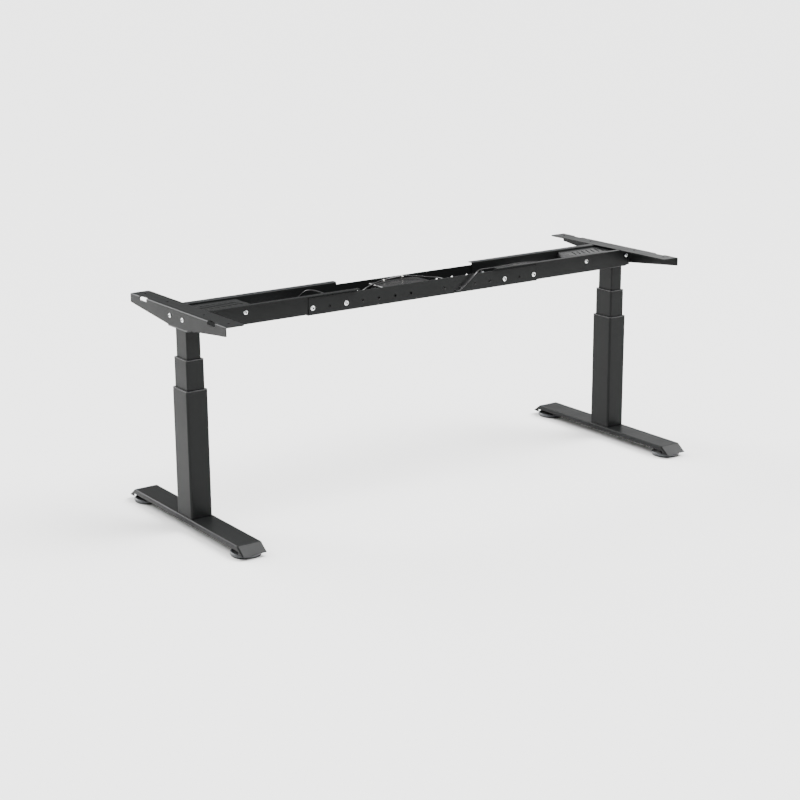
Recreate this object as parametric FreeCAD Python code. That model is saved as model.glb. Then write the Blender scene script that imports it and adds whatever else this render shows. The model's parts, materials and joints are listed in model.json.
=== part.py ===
import FreeCAD, Part
import math
import os

# Height adjustable desk frame: two three-stage lifting columns on sheet steel feet, joined by
# a telescopic crossbar that carries a motor at each end.  Millimetres, +Z up, X along the
# crossbar, -Y the user's side.  The origin is on the floor, midway between the two columns.
# The frame stands at its lowest height.

# ---- driving dimensions -------------------------------------------------------------------
leg_spacing = 1624.0          # column centre to column centre
frame_top = 663.5             # floor to the face that the desktop lies on
stage_travel = 280.0          # travel of each of the two moving stages

foot_length = 700.0
foot_flat = 634.0             # length of the flat top, between the two end bevels
foot_width = 80.0
foot_sheet = 3.0
foot_top = 38.0
foot_lip = 14.0               # height of the end bevels' lower edge
foot_skirt = 23.0             # height of the side skirts' lower edge
foot_corner = 4.0

pad_diameter = 92.0
pad_inset = 53.0              # pad centre to the foot's tip
pad_sole = 4.0
pad_height = 12.0
stud_radius = 5.0
weld_nut_flats = 17.0
weld_nut_height = 14.0

outer_x = 70.0                # outer column tube, across X and Y
outer_y = 90.0
outer_wall = 2.5
outer_top = 424.5
middle_x = 58.0
middle_y = 78.0
middle_wall = 2.0
middle_top = 515.0
inner_x = 46.0
inner_y = 66.0
inner_wall = 2.0
tube_corner = 7.0             # outside corner radius of the outer tube
glide_height = 40.0
glide_rim = 2.0               # rim of each upper glide, lying on the tube's end
shoe_height = 30.0
slide_clearance = 0.1
stage_step = 10.0             # each moving tube starts this much above the one around it

base_plate_height = 8.0
floor_plate_height = 6.0
standpipe_inner = 13.0        # radii of the fixed lift tube
standpipe_wall = 3.0
lift_tube_gap = 0.5
nut_height = 20.0
lower_screw_radius = 11.0
lower_screw_bore = 8.5
upper_screw_radius = 7.0
screw_clearance = 0.05
bearing_height = 14.0
collar_height = 3.0
drive_bush_height = 15.0

sheet = 2.5                   # rails, covers
rail_face = 62.0              # outer face of the centre rails, from the frame's centre plane
centre_rail_half = 438.0
centre_rail_top = 654.0
centre_rail_bottom = 600.0
centre_rail_lip = 61.0        # inward bottom lip, from the outer face; the control box stands on it
end_rail_lip = 22.0           # inward bottom lip of the end rails
cable_window = (103.0, 123.0, 603.5, 614.0)       # in the front web: along X and in height
screw_bore = 3.3              # clearance hole of the M6 screws
end_rail_inner = 262.0        # where the end rails start inside the centre rails
end_rail_flange = 16.0        # outward top flange
end_rail_corner = 20.0
bend_radius = 4.0
hole_pitch = 60.0             # width adjusting holes
hole_first = 64.0
hole_count = 7
hole_radius = 4.2
hole_height = 622.5
bolted_holes = (4, 6)         # the two holes at each end that carry bolts
rail_bolt_head = 7.5
end_screw_inset = 160.0       # cover screw, from the column's centre
end_screw_height = 639.0
end_screw_head = 6.5
gearbox_screw_shift = 16.0    # gearbox screw, from the column's centre
m6 = 3.0                      # screw radii
m8 = 4.0
m8_nut_flats = 13.0
m8_nut_height = 6.0
gearbox_thread = 12.0         # depth of the threaded holes in the casting

bracket_length = 574.0
bracket_flange = 62.0
bracket_sheet = 3.0
bracket_face = 36.0           # outer face of the side plate, beyond the column's centre
bracket_end_height = 27.0
bracket_mid_height = 52.0
bracket_flat = 100.0          # length of the deep middle part
bracket_notch = 44.0
bracket_notch_depth = 11.0
bracket_notch_place = 206.0
desk_hole_places = (250.0, 110.0)
desk_hole_radius = 3.5
desk_hole_inset = 31.0
bracket_screw_place = 38.0
bracket_screw_height = 639.0

head_inner = 38.0             # gearbox casting, from the column's centre towards the middle
head_bottom = 606.0
head_top = 646.0
lid_height = 4.0
tube_socket = 10.0
wheel_radius = 20.0
wheel_height = 12.0
worm_radius = 7.0
worm_gap = 0.3
worm_height = 628.0
motor_radius = 22.5
motor_length = 150.0
cover_length = 190.0          # cover plate, from the column's centre towards the middle
cover_top = 656.5
cover_flange = 30.0
cover_end_lip = 14.0
slot_count = 7
slot_width = 5.0
slot_length = 46.0
slot_pitch = 20.0
slot_start = 14.0             # first slot, from the cover's inner end
slot_lean = 20.0              # how far each slot leans along X

box_low = -153.0              # control box, along X
box_high = 27.0
box_half = 44.0
box_top = 648.0
box_lid = 14.0
box_wall = 2.5
inlet_half = 14.0             # inlet socket: half its width, its lower and upper edge, its depth
inlet_low = 608.0
inlet_high = 628.0
inlet_depth = 18.0
cable_diameter = 5.0
plug_length = 20.0
plug_height = 622.0

# ---- worked out ---------------------------------------------------------------------------
leg_x = leg_spacing / 2
pad_place = foot_length / 2 - pad_inset
web_outer = rail_face - sheet             # outer face of the end rails' webs
web_inner = web_outer - sheet
end_rail_bottom = centre_rail_bottom + sheet
end_screw_places = (-end_screw_inset, gearbox_screw_shift)
side_plate_inner = leg_x + bracket_face - bracket_sheet
end_rail_outer = side_plate_inner - 4.0
bracket_underside = frame_top - bracket_sheet
middle_bottom = foot_top + base_plate_height + stage_step
inner_bottom = middle_bottom + stage_step
standpipe_outer = standpipe_inner + standpipe_wall
lift_tube_inner = standpipe_outer + lift_tube_gap
lift_tube_outer = lift_tube_inner + standpipe_wall
standpipe_top = outer_top - 39.5
lift_tube_top = middle_top - 35.0
worm_place = wheel_radius + worm_radius + worm_gap

PARTS = {}


def keep(name, *solids):
    """Store the separate solids of one node."""
    PARTS[name] = Part.makeCompound(list(solids)) if len(solids) > 1 else solids[0]


def box(x0, x1, y0, y1, z0, z1):
    size = (abs(x1 - x0), abs(y1 - y0), abs(z1 - z0))
    corner = FreeCAD.Vector(min(x0, x1), min(y0, y1), min(z0, z1))
    return Part.makeBox(size[0], size[1], size[2], corner)


def rod(radius, start, end):
    """A round bar between two points."""
    a = FreeCAD.Vector(*start)
    b = FreeCAD.Vector(*end)
    return Part.makeCylinder(radius, (b - a).Length, a, b - a)


def ring(r_in, r_out, start, end):
    return rod(r_out, start, end).cut(rod(r_in, start, end))


def outline(points):
    """A closed wire through (u, v, radius) corners, with an arc wherever radius is not 0."""
    count = len(points)
    edges = []
    last = None
    first = None
    for i in range(count):
        u, v, radius = points[i]
        here = FreeCAD.Vector(u, v, 0)
        before = FreeCAD.Vector(points[i - 1][0], points[i - 1][1], 0)
        after = FreeCAD.Vector(points[(i + 1) % count][0], points[(i + 1) % count][1], 0)
        into = (before - here).normalize()
        out = (after - here).normalize()
        start = here
        end = here
        if radius > 0:
            half = into.getAngle(out) / 2
            reach = radius / math.tan(half)
            start = here + into * reach
            end = here + out * reach
            middle = (into + out).normalize()
            top = here + middle * (radius / math.sin(half) - radius)
        if last is not None and (start - last).Length > 1e-6:
            edges.append(Part.LineSegment(last, start).toShape())
        if radius > 0:
            edges.append(Part.Arc(start, top, end).toShape())
        if first is None:
            first = start
        last = end
    if (first - last).Length > 1e-6:
        edges.append(Part.LineSegment(last, first).toShape())
    return Part.Wire(edges)


def plate_xy(points, z0, z1):
    """A flat outline in X and Y, from z0 up to z1."""
    face = Part.Face(outline(points))
    face.translate(FreeCAD.Vector(0, 0, z0))
    return face.extrude(FreeCAD.Vector(0, 0, z1 - z0))


def bar_x(points, x0, x1):
    """A section given in Y and Z, run along X."""
    face = Part.Face(outline(points))
    face.rotate(FreeCAD.Vector(0, 0, 0), FreeCAD.Vector(1, 1, 1), 120)
    face.translate(FreeCAD.Vector(x0, 0, 0))
    return face.extrude(FreeCAD.Vector(x1 - x0, 0, 0))


def bar_y(points, y0, y1):
    """A section given in X and Z, run along Y."""
    face = Part.Face(outline(points))
    face.rotate(FreeCAD.Vector(0, 0, 0), FreeCAD.Vector(1, 0, 0), 90)
    face.translate(FreeCAD.Vector(0, y0, 0))
    return face.extrude(FreeCAD.Vector(0, y1 - y0, 0))


def rounded(x, y, lx, ly, radius, z0, z1):
    """An upright block with rounded corners, centred on x, y."""
    u = lx / 2
    v = ly / 2
    corners = [(x - u, y - v, radius), (x + u, y - v, radius), (x + u, y + v, radius), (x - u, y + v, radius)]
    return plate_xy(corners, z0, z1)


def hollow(x, lx, ly, wall, radius, z0, z1):
    """A rectangular tube standing at x."""
    skin = rounded(x, 0, lx, ly, radius, z0, z1)
    return skin.cut(rounded(x, 0, lx - 2 * wall, ly - 2 * wall, max(radius - wall, 0.5), z0, z1))


def mirrored(shape, side):
    """The same piece for the other end: side is 1 for the right, -1 for the left."""
    return shape if side > 0 else shape.mirror(FreeCAD.Vector(0, 0, 0), FreeCAD.Vector(1, 0, 0))


def front_back(shape, way):
    return shape if way > 0 else shape.mirror(FreeCAD.Vector(0, 0, 0), FreeCAD.Vector(0, 1, 0))


def hexagon(x, y, flats, z0, z1):
    radius = flats / math.sqrt(3)
    corners = []
    for i in range(6):
        turn = math.radians(60 * i)
        corners.append((x + radius * math.cos(turn), y + radius * math.sin(turn), 0))
    return plate_xy(corners, z0, z1)


def button_screw(head, shank, length, place, way, head_height=4.0, socket=2.5):
    """A flanged button screw: place is the point under the head, way points to the shank's tip."""
    spot = FreeCAD.Vector(*place)
    along = FreeCAD.Vector(*way).normalize()
    body = Part.makeCylinder(shank, length, spot, along)
    flange = Part.makeCylinder(head, 1.2, spot - along * 1.2, along)
    dome = Part.makeCone(head * 0.5, head * 0.86, head_height - 1.2, spot - along * head_height, along)
    drive = Part.makeCylinder(socket, head_height * 0.6, spot - along * head_height, along)
    return body.fuse([flange, dome]).removeSplitter().cut(drive)


# ---- feet and levelling pads ---------------------------------------------------------------
def foot():
    """One pressed foot: flat top, bevelled ends that reach lower than the side skirts."""
    tip = foot_length / 2
    flat = foot_flat / 2
    side = foot_width / 2
    slope = math.hypot(tip - flat, foot_top - foot_lip)
    inner_shift = foot_sheet * slope / (foot_top - foot_lip)
    corner_shift = foot_sheet * (slope - (tip - flat)) / (foot_top - foot_lip)
    outside = [(-tip, foot_lip, 0), (-flat, foot_top, 6), (flat, foot_top, 6), (tip, foot_lip, 0)]
    inside = [(-tip + inner_shift, foot_lip, 0), (-flat + corner_shift, foot_top - foot_sheet, 3),
              (flat - corner_shift, foot_top - foot_sheet, 3), (tip - inner_shift, foot_lip, 0)]
    block = bar_x(outside, -side, side)
    upright = [e for e in block.Edges if abs(e.Length - slope) < 8 and e.BoundBox.YLength > 20]
    block = block.makeFillet(foot_corner, upright)
    pocket = bar_x(inside, -side + foot_sheet, side - foot_sheet)
    shell = block.cut(pocket)
    reach = flat + 6
    below = box(-side - 1, side + 1, -reach, reach, foot_lip - 1, foot_skirt)
    return shell.cut(below)


bolt_spots = [(dx, dy) for dx in (-22, 22) for dy in (-32, 32)]
for side, name in ((-1, "left"), (1, "right")):
    x = side * leg_x
    one = foot()
    one.translate(FreeCAD.Vector(x, 0, 0))
    holes = [rod(4.5, (x + dx, dy, foot_lip), (x + dx, dy, foot_top + 1)) for dx, dy in bolt_spots]
    keep(name + "_foot", one.cut(Part.makeCompound(holes)))

weld_nuts = []
for side in (-1, 1):
    for way in (-1, 1):
        x = side * leg_x
        y = way * pad_place
        top = foot_top - foot_sheet
        nut = hexagon(x, y, weld_nut_flats, top - weld_nut_height, top)
        bore = rod(stud_radius + screw_clearance, (x, y, 0), (x, y, foot_top))
        weld_nuts.append(nut.cut(bore))
keep("foot_weld_nuts", *weld_nuts)

for side, name in ((-1, "left"), (1, "right")):
    for way, end in ((-1, "front"), (1, "rear")):
        x = side * leg_x
        y = way * pad_place
        full = pad_diameter / 2
        hub_top = foot_top - foot_sheet - weld_nut_height - 0.1
        sole = Part.makeCylinder(full - 2, pad_sole, FreeCAD.Vector(x, y, 0))
        edge = [e for e in sole.Edges if e.BoundBox.ZMax < 0.1]
        sole = sole.makeFillet(1.0, edge)
        disc = Part.makeCylinder(full, pad_height - pad_sole, FreeCAD.Vector(x, y, pad_sole))
        rim = [e for e in disc.Edges if e.BoundBox.ZMin > pad_height - 0.1]
        disc = disc.makeFillet(3.0, rim)
        hub = Part.makeCone(16, 10, hub_top - pad_height, FreeCAD.Vector(x, y, pad_height))
        stud = rod(stud_radius, (x, y, pad_height - 2), (x, y, foot_top - foot_sheet - 0.5))
        body = disc.fuse(hub).cut(rod(stud_radius, (x, y, pad_height - 2), (x, y, hub_top + 1)))
        keep(name + "_" + end + "_pad", body, sole, stud)

# ---- columns -------------------------------------------------------------------------------
foot_bolts = []
base_nuts = []
outer_glides = []
inner_shoes = []
plate_x = outer_x - 2 * outer_wall
plate_y = outer_y - 2 * outer_wall
bore_x = middle_x - 2 * middle_wall
bore_y = middle_y - 2 * middle_wall
middle_corner = tube_corner - 1.5
inner_corner = middle_corner - 1.5
for side, name in ((-1, "left"), (1, "right")):
    x = side * leg_x
    keep(name + "_outer_tube", hollow(x, outer_x, outer_y, outer_wall, tube_corner, foot_top, outer_top))

    # fixed lift tube: a plate bolted to the foot, with a standpipe that carries the lower nut
    plate_top = foot_top + base_plate_height
    plate = rounded(x, 0, plate_x - 1, plate_y - 1, 4, foot_top, plate_top)
    holes = [rod(4.1, (x + dx, dy, foot_top), (x + dx, dy, plate_top)) for dx, dy in bolt_spots]
    pipe = ring(standpipe_inner, standpipe_outer, (x, 0, plate_top), (x, 0, standpipe_top))
    keep(name + "_fixed_lift_tube", plate.cut(Part.makeCompound(holes)).fuse(pipe).removeSplitter())
    for dx, dy in bolt_spots:
        under = (x + dx, dy, foot_top - foot_sheet)
        foot_bolts.append(button_screw(7.0, 4.0, foot_sheet + base_plate_height - 1, under, (0, 0, 1)))
    nut_bore = lower_screw_radius + screw_clearance
    nut_top = (x, 0, standpipe_top + nut_height)
    base_nuts.append(ring(nut_bore, standpipe_outer, (x, 0, standpipe_top), nut_top))

    # glide in the mouth of the outer tube, with a rim on the tube's end
    sleeve = rounded(x, 0, plate_x, plate_y, tube_corner - outer_wall, outer_top - glide_height, outer_top)
    rim = rounded(x, 0, outer_x, outer_y, tube_corner, outer_top, outer_top + glide_rim)
    way_through = rounded(x, 0, middle_x + 2 * slide_clearance, middle_y + 2 * slide_clearance,
                          middle_corner + slide_clearance, foot_top, frame_top)
    outer_glides.append(sleeve.fuse(rim).cut(way_through))

    # middle stage
    tube = hollow(x, middle_x, middle_y, middle_wall, middle_corner, middle_bottom, middle_top)
    keep(name + "_middle_tube", tube)
    shoe_x = plate_x - 2 * slide_clearance
    shoe_y = plate_y - 2 * slide_clearance
    shoe = rounded(x, 0, shoe_x, shoe_y, tube_corner - outer_wall, middle_bottom, middle_bottom + shoe_height)
    shoe = shoe.cut(rounded(x, 0, middle_x, middle_y, middle_corner, middle_bottom, middle_top))
    sleeve_bottom = middle_top - glide_height + 10
    sleeve = rounded(x, 0, bore_x, bore_y, middle_corner - middle_wall, sleeve_bottom, middle_top)
    rim = rounded(x, 0, middle_x, middle_y, middle_corner, middle_top, middle_top + glide_rim)
    way_through = rounded(x, 0, inner_x + 2 * slide_clearance, inner_y + 2 * slide_clearance,
                          inner_corner + slide_clearance, foot_top, frame_top)
    keep(name + "_middle_glides", shoe, sleeve.fuse(rim).cut(way_through))
    floor_top = middle_bottom + floor_plate_height
    floor_plate = rounded(x, 0, bore_x, bore_y, middle_corner - middle_wall, middle_bottom, floor_top)
    tower = rod(lift_tube_outer, (x, 0, middle_bottom), (x, 0, lift_tube_top))
    passage = rod(lift_tube_inner, (x, 0, middle_bottom), (x, 0, lift_tube_top))
    keep(name + "_middle_lift_tube", floor_plate.fuse(tower).cut(passage).removeSplitter())
    nut_top = lift_tube_top + nut_height
    keep(name + "_middle_nut", ring(upper_screw_radius + screw_clearance, lift_tube_outer,
                                    (x, 0, lift_tube_top), (x, 0, nut_top)))
    bearing_low = lift_tube_top - collar_height - bearing_height - 2
    bearing_high = bearing_low + bearing_height
    keep(name + "_screw_bearing", ring(lower_screw_radius + screw_clearance, lift_tube_inner,
                                       (x, 0, bearing_low), (x, 0, bearing_high)))

    # lower screw: hollow, hanging in the bearing, with its thread in the fixed nut
    screw_low = middle_bottom
    collar_low = bearing_high + 0.1
    shaft = rod(lower_screw_radius, (x, 0, screw_low), (x, 0, collar_low))
    collar = rod(lower_screw_radius + 3, (x, 0, collar_low), (x, 0, collar_low + collar_height))
    bore = rod(lower_screw_bore, (x, 0, screw_low), (x, 0, collar_low + collar_height))
    keep(name + "_lower_screw", shaft.fuse(collar).cut(bore).removeSplitter())

    # inner stage
    inner_top = head_bottom + tube_socket
    keep(name + "_inner_tube", hollow(x, inner_x, inner_y, inner_wall, inner_corner, inner_bottom, inner_top))
    shoe = rounded(x, 0, bore_x - 2 * slide_clearance, bore_y - 2 * slide_clearance,
                   middle_corner - middle_wall, inner_bottom, inner_bottom + shoe_height)
    inner_shoes.append(shoe.cut(rounded(x, 0, inner_x, inner_y, inner_corner, inner_bottom, middle_top)))

    # upper screw: driven by the worm wheel, with a drive bush that turns the lower screw
    bush_low = bearing_low - stage_travel - 4 - drive_bush_height
    wheel_low = worm_height - wheel_height / 2
    wheel_top = wheel_low + wheel_height
    shaft = rod(upper_screw_radius, (x, 0, bush_low), (x, 0, wheel_top + 6))
    bush = rod(lower_screw_bore - screw_clearance, (x, 0, bush_low), (x, 0, bush_low + drive_bush_height))
    keep(name + "_upper_screw", shaft.fuse(bush).removeSplitter())
    keep(name + "_worm_wheel", ring(upper_screw_radius, wheel_radius, (x, 0, wheel_low), (x, 0, wheel_top)))

keep("foot_bolts", *foot_bolts)
keep("fixed_nuts", *base_nuts)
keep("outer_tube_glides", *outer_glides)
keep("inner_tube_shoes", *inner_shoes)


# ---- gearboxes and motors --------------------------------------------------------------------
def gearbox():
    """Right hand casting: socket for the inner tube below, worm wheel chamber above."""
    x = leg_x
    low = x - head_inner
    body = box(low, side_plate_inner, -web_inner, web_inner, head_bottom, head_top)
    upright = [e for e in body.Edges if e.BoundBox.ZLength > 10 and e.BoundBox.XMax < x]
    body = body.makeFillet(5.0, upright)
    inner_top = head_bottom + tube_socket
    socket = rounded(x, 0, inner_x, inner_y, inner_corner, head_bottom, inner_top)
    bore = rod(upper_screw_radius + screw_clearance, (x, 0, head_bottom), (x, 0, head_top))
    chamber = rod(wheel_radius + 1, (x, 0, worm_height - wheel_height / 2 - 1), (x, 0, head_top))
    worm_way = rod(worm_radius + 1, (low, worm_place, worm_height), (x + 22, worm_place, worm_height))
    body = body.cut(Part.makeCompound([socket, bore])).cut(chamber).cut(worm_way)
    lid_place = [(dx, dy) for dx in (-28, 24) for dy in (-46, 46)]
    holes = [rod(2.6, (x + dx, dy, head_top - 12), (x + dx, dy, head_top)) for dx, dy in lid_place]
    return body.cut(Part.makeCompound(holes))


def gearbox_lid():
    x = leg_x
    half = web_inner - 4
    lid = box(x - head_inner + 2, side_plate_inner - 2, -half, half, head_top, head_top + lid_height)
    rims = [e for e in lid.Edges if e.BoundBox.ZLength > lid_height / 2]
    return lid.makeFillet(6.0, rims)


def motor():
    """Flange, finned can and end cap of the right hand motor, and its shaft with the worm."""
    face = leg_x - head_inner
    y = worm_place
    z = worm_height
    can_end = face - motor_length
    half = motor_radius - 3
    flange = box(face - 6, face, y - motor_radius - 1, y + motor_radius - 1, z - half, z + half)
    can = rod(motor_radius, (face - 6, y, z), (can_end + 12, y, z))
    neck = rod(motor_radius - 2, (can_end + 12, y, z), (can_end + 8, y, z))
    cap = rod(motor_radius, (can_end + 8, y, z), (can_end, y, z))
    outer = [e for e in cap.Edges if e.BoundBox.XMax < can_end + 0.1]
    cap = cap.makeFillet(4.0, outer)
    shaft_bore = rod(4.05, (can_end + 20, y, z), (face + 1, y, z))
    case = flange.fuse([can, neck, cap]).removeSplitter().cut(shaft_bore)
    shaft = rod(4.0, (can_end + 20, y, z), (face + 8, y, z))
    worm = rod(worm_radius, (face + 8, y, z), (leg_x + 18, y, z))
    return case, shaft.fuse(worm).removeSplitter()


motor_shafts = []
gearbox_lids = []
for side, name in ((-1, "left"), (1, "right")):
    keep(name + "_gearbox", mirrored(gearbox(), side))
    gearbox_lids.append(mirrored(gearbox_lid(), side))
    case, shaft = motor()
    keep(name + "_motor", mirrored(case, side))
    motor_shafts.append(mirrored(shaft, side))
keep("motor_worm_shafts", *motor_shafts)
keep("gearbox_lids", *gearbox_lids)


# ---- crossbar --------------------------------------------------------------------------------
def screw_way(x, z, radius, y0, y1):
    return rod(radius, (x, y0, z), (x, y1, z))


def end_rail():
    """Right rear end rail: web, inward bottom lip and outward top flange for the desktop."""
    lip = web_inner - end_rail_lip
    tip = web_outer + end_rail_flange
    top = frame_top - 0.5
    low = end_rail_bottom
    section = [(lip, low, 0), (web_outer, low, bend_radius), (web_outer, top - sheet, bend_radius - sheet),
               (tip, top - sheet, 0), (tip, top, 0), (web_inner, top, bend_radius),
               (web_inner, low + sheet, bend_radius - sheet), (lip, low + sheet, 0)]
    rail = bar_x(section, end_rail_inner, end_rail_outer)
    flange_end = leg_x + bracket_face - bracket_flange - 2
    rail = rail.cut(box(flange_end, end_rail_outer + 1, lip - 1, tip + 1, bracket_underside - 0.3, top + 1))
    # the lip and the top flange stop at the gearbox, and the web's lower outer corner is rounded
    head = leg_x - head_inner
    rail = rail.cut(box(head, end_rail_outer + 1, lip - 1, web_inner, low - 1, low + 2 * sheet))
    corner_x = end_rail_outer - end_rail_corner
    corner_z = low + end_rail_corner
    keep_out = box(corner_x, end_rail_outer + 1, lip, tip, low - 1, corner_z)
    pillar = rod(end_rail_corner, (corner_x, lip, corner_z), (corner_x, tip, corner_z))
    rail = rail.cut(keep_out.cut(pillar))
    cuts = [screw_way(leg_x + dx, end_screw_height, screw_bore, lip, tip) for dx in end_screw_places]
    for i in bolted_holes:
        cuts.append(screw_way(hole_first + hole_pitch * i, hole_height, hole_radius, lip, tip))
    return rail.cut(Part.makeCompound(cuts))


def centre_rail():
    """Rear centre rail: a web that the end rails slide along, and a deep bottom lip under them."""
    lip = rail_face - centre_rail_lip
    section = [(lip, centre_rail_bottom, 0), (rail_face, centre_rail_bottom, bend_radius),
               (rail_face, centre_rail_top, 0.8), (web_outer, centre_rail_top, 0.8),
               (web_outer, end_rail_bottom, bend_radius - sheet), (lip, end_rail_bottom, 0)]
    rail = bar_x(section, -centre_rail_half, centre_rail_half)
    cuts = []
    for side in (-1, 1):
        for i in range(hole_count):
            place = side * (hole_first + hole_pitch * i)
            cuts.append(screw_way(place, hole_height, hole_radius, web_inner, rail_face + 1))
    return rail.cut(Part.makeCompound(cuts))


rail_bolts = []
rail_nuts = []
end_screws = []
x0, x1, z0, z1 = cable_window
window = box(x0, x1, -rail_face - 1, -web_inner, z0, z1)
for way, end in ((-1, "front"), (1, "rear")):
    centre = front_back(centre_rail(), way)
    keep(end + "_centre_rail", centre.cut(window) if way < 0 else centre)
    for side, name in ((-1, "left"), (1, "right")):
        keep(name + "_" + end + "_end_rail", mirrored(front_back(end_rail(), way), side))
        for i in bolted_holes:
            place = side * (hole_first + hole_pitch * i)
            spot = (place, way * rail_face, hole_height)
            rail_bolts.append(button_screw(rail_bolt_head, m8, 2 * sheet + 8, spot, (0, -way, 0), 5.0, 3.0))
            nut = hexagon(0, 0, m8_nut_flats, 0, m8_nut_height)
            nut = nut.cut(rod(m8 + screw_clearance, (0, 0, 0), (0, 0, m8_nut_height)))
            nut.rotate(FreeCAD.Vector(0, 0, 0), FreeCAD.Vector(1, 0, 0), 90 * way)
            nut.translate(FreeCAD.Vector(place, way * web_inner, hole_height))
            rail_nuts.append(nut)
        for dx, length in zip(end_screw_places, (2 * sheet + 2, sheet + gearbox_thread)):
            spot = (side * (leg_x + dx), way * web_outer, end_screw_height)
            end_screws.append(button_screw(end_screw_head, m6, length, spot, (0, -way, 0)))
keep("crossbar_bolts", *rail_bolts)
keep("crossbar_nuts", *rail_nuts)

# threaded holes for the end rail screws in the gearbox sides
for side, name in ((-1, "left"), (1, "right")):
    holes = []
    x = side * (leg_x + gearbox_screw_shift)
    face = side * side_plate_inner
    for way in (-1, 1):
        holes.append(screw_way(x, end_screw_height, m6, way * web_inner, way * (web_inner - gearbox_thread)))
        y = way * bracket_screw_place
        tip = face - side * (gearbox_thread + 2)
        holes.append(rod(m6, (face, y, bracket_screw_height), (tip, y, bracket_screw_height)))
    keep(name + "_gearbox", PARTS[name + "_gearbox"].cut(Part.makeCompound(holes)))
keep("end_rail_screws", *end_screws)


def motor_cover():
    """Cover plate over the right hand motor and gearbox, with side flanges and an end lip."""
    start = leg_x - cover_length
    stop = side_plate_inner - 3
    edge = web_inner
    low = cover_top - cover_flange
    section = [(-edge, low, 0), (-edge, cover_top, bend_radius),
               (edge, cover_top, bend_radius), (edge, low, 0), (edge - sheet, low, 0), (edge - sheet, cover_top - sheet, bend_radius - sheet),
               (-edge + sheet, cover_top - sheet, bend_radius - sheet), (-edge + sheet, low, 0)]
    cover = bar_x(section, start, stop)
    # the side flanges stop at the gearbox and start where the end screws need them
    head = leg_x - head_inner - 1
    cover = cover.cut(box(head, stop + 1, -edge - 1, edge + 1, low - 1, cover_top - sheet))
    lip_section = [(start - 8, cover_top - cover_end_lip, 0), (start, cover_top, bend_radius),
                   (start + 6, cover_top, 0), (start + 6, cover_top - sheet, 0),
                   (start + sheet * 0.7, cover_top - sheet, 0),
                   (start - 8 + sheet * 0.9, cover_top - cover_end_lip, 0)]
    lip = bar_y(lip_section, edge - 10, -edge + 10)
    cover = cover.fuse(lip).removeSplitter()
    cuts = []
    screw_x = leg_x - end_screw_inset
    for way in (-1, 1):
        cuts.append(screw_way(screw_x, end_screw_height, m6, way * (edge - sheet), way * edge))
    for i in range(slot_count):
        place = start + slot_start + slot_pitch * i
        slot = [(place, -slot_length / 2, 0), (place + slot_width, -slot_length / 2, 0),
                (place + slot_width + slot_lean, slot_length / 2, 0), (place + slot_lean, slot_length / 2, 0)]
        cuts.append(plate_xy(slot, cover_top - 2 * sheet, cover_top + 1))
    return cover.cut(Part.makeCompound(cuts))


keep("left_motor_cover", mirrored(motor_cover(), -1))
keep("right_motor_cover", motor_cover())


# ---- side brackets ---------------------------------------------------------------------------
def side_bracket():
    """Right side bracket: tapered side plate and flat top flange that the desktop lies on."""
    outer = leg_x + bracket_face
    half = bracket_length / 2
    flat = bracket_flat / 2
    end_z = frame_top - bracket_end_height
    mid_z = frame_top - bracket_mid_height
    inner = outer - bracket_flange
    angle = [(inner, bracket_underside, 0), (outer - bracket_sheet, bracket_underside, bend_radius - sheet),
             (outer - bracket_sheet, mid_z, 0), (outer, mid_z, 0), (outer, frame_top, bend_radius),
             (inner, frame_top, 0)]
    folded = bar_y(angle, -half, half)
    side_view = [(-half, end_z, 3), (-flat, mid_z, 25), (flat, mid_z, 25), (half, end_z, 3),
                 (half, frame_top + 1, 0), (-half, frame_top + 1, 0)]
    folded = folded.common(bar_x(side_view, inner - 1, outer + 1))
    top_view = [(inner, -half, 8), (outer + 5, -half, 0), (outer + 5, half, 0), (inner, half, 8)]
    folded = folded.common(plate_xy(top_view, mid_z - 1, frame_top + 1))
    cuts = []
    for way in (-1, 1):
        near = way * bracket_notch_place - bracket_notch / 2
        far = near + bracket_notch
        cuts.append(box(outer - bracket_notch_depth, outer + 1, near, far,
                        frame_top - bracket_notch_depth, frame_top + 1))
        cuts.append(rod(screw_bore, (outer - 10, way * bracket_screw_place, bracket_screw_height),
                        (outer + 1, way * bracket_screw_place, bracket_screw_height)))
        for place in desk_hole_places:
            cuts.append(rod(desk_hole_radius, (outer - desk_hole_inset, way * place, bracket_underside - 1),
                            (outer - desk_hole_inset, way * place, frame_top + 1)))
    return folded.cut(Part.makeCompound(cuts))


bracket_screws = []
for side, name in ((-1, "left"), (1, "right")):
    keep(name + "_side_bracket", mirrored(side_bracket(), side))
    for way in (-1, 1):
        spot = (side * (leg_x + bracket_face), way * bracket_screw_place, bracket_screw_height)
        length = bracket_sheet + gearbox_thread
        bracket_screws.append(button_screw(end_screw_head, m6, length, spot, (-side, 0, 0)))
keep("side_bracket_screws", *bracket_screws)

# ---- control box, plugs and motor leads --------------------------------------------------------
box_split = box_top - box_lid
shell = box(box_low, box_high, -box_half, box_half, end_rail_bottom, box_split)
shell = shell.makeFillet(5.0, [e for e in shell.Edges if e.BoundBox.ZLength > 10])
room_low = box_low + box_wall
room_high = box_high - box_wall
room_half = box_half - box_wall
room = box(room_low, room_high, -room_half, room_half, end_rail_bottom + box_wall, box_split + 1)
inlet = box(box_low - 1, room_low, -inlet_half, inlet_half, inlet_low, inlet_high)
shell = shell.cut(room).cut(inlet)
keep("control_box_base", shell)
lid = box(box_low, box_high, -box_half, box_half, box_split, box_top)
lid = lid.makeFillet(5.0, [e for e in lid.Edges if e.BoundBox.ZLength > 10])
lid = lid.makeFillet(3.5, [e for e in lid.Edges if e.BoundBox.ZMin > box_top - 0.1])
room = box(room_low, room_high, -room_half, room_half, box_split - 1, box_top - box_wall)
keep("control_box_lid", lid.cut(room))
frame_inlet = box(room_low, box_low + inlet_depth, -inlet_half, inlet_half, inlet_low, inlet_high)
hollow_half = inlet_half - box_wall
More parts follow.
